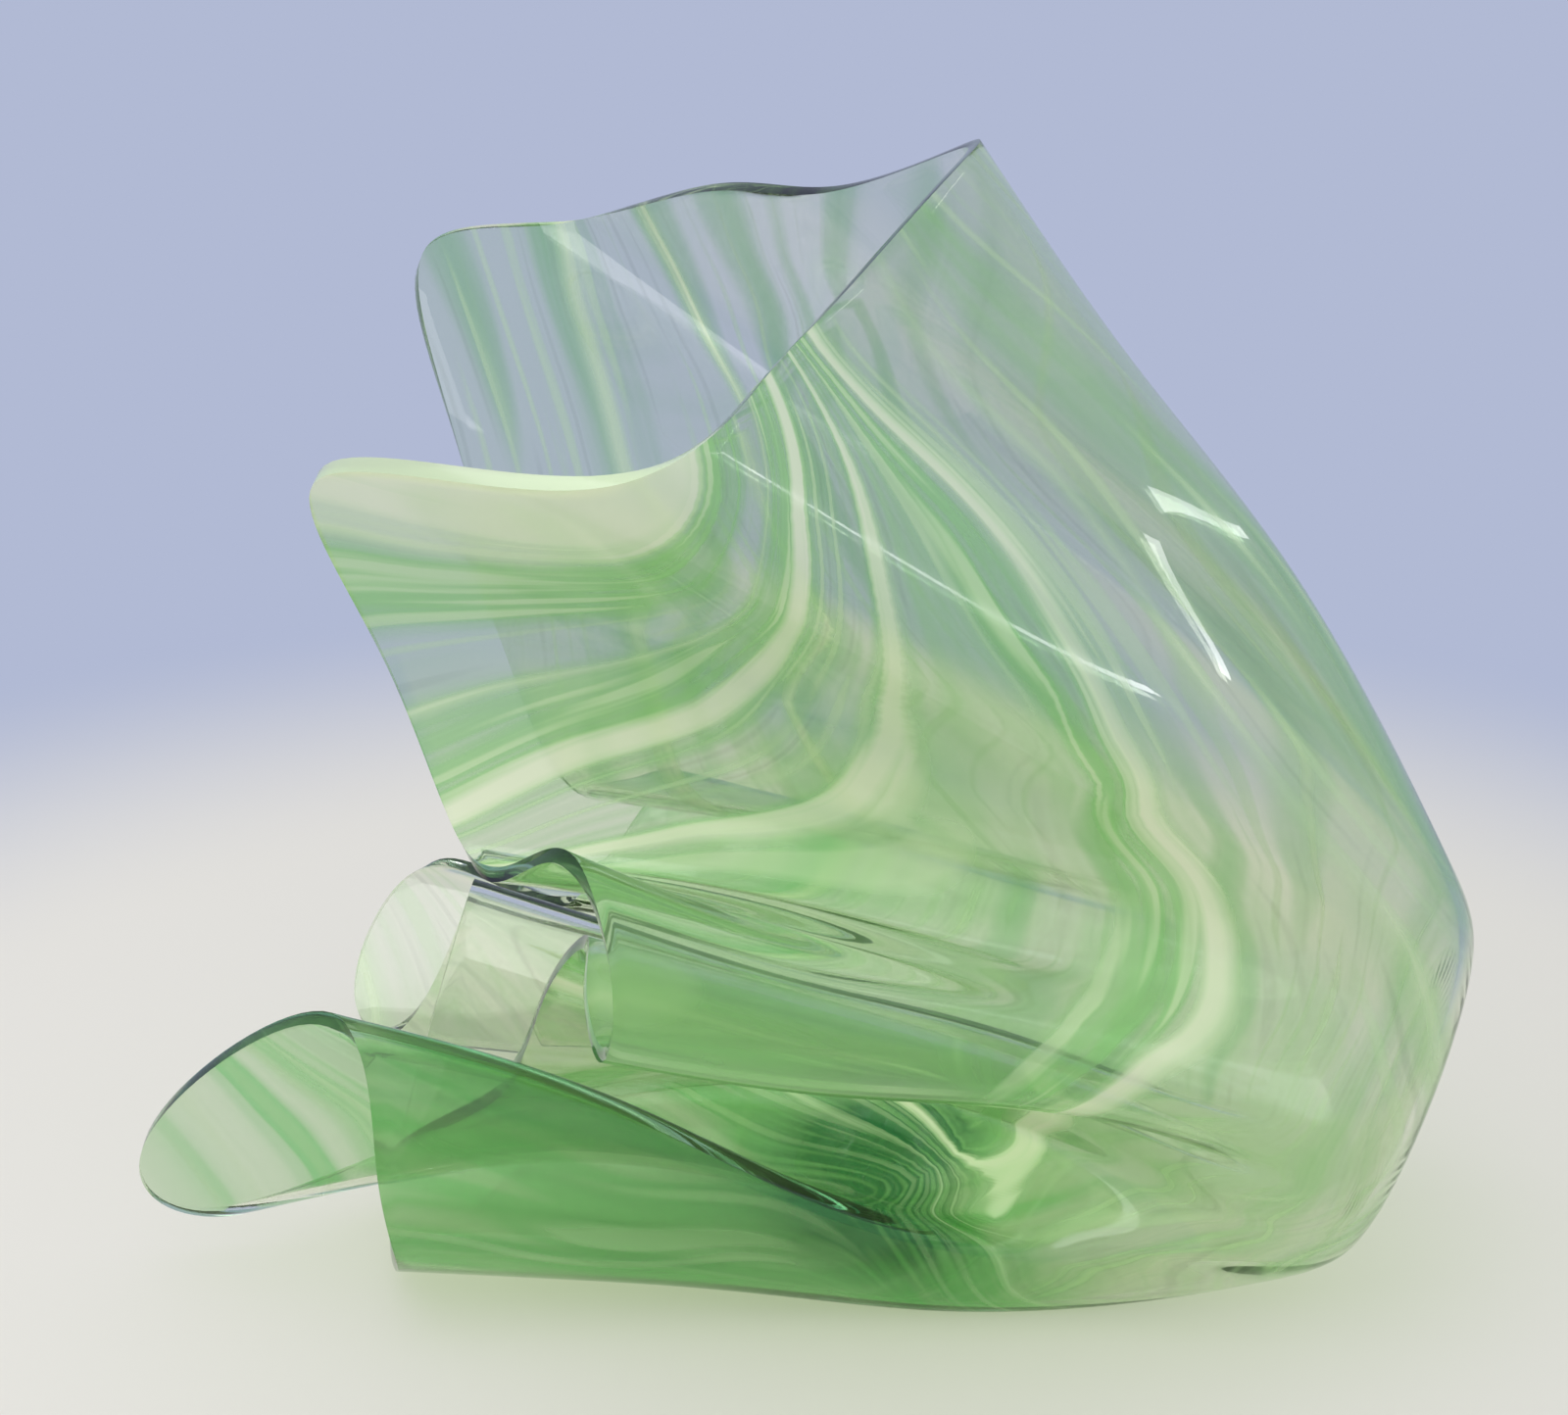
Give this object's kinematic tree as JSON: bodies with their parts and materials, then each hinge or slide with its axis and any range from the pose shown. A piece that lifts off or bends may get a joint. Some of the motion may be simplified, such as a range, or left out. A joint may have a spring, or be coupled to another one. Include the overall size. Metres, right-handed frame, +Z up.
{
  "type": "handkerchief vase",
  "caption": "Glass vase slumped from one square sheet into a folded handkerchief form, lying on its side, open at the rim and closed at a round foot.",
  "frame": {"origin": "on the table, under the middle of the outline", "axes": "+Z up with the vase lying on its side, mouth towards -X, +Y away from the viewer"},
  "size_m": [0.2824, 0.2246, 0.2372],
  "materials": {
    "streaked_glass": "clear, pale and green streaks, fire-polished gloss"
  },
  "bodies": {
    "root": {"vase": "streaked_glass"}
  },
  "joints": []
}
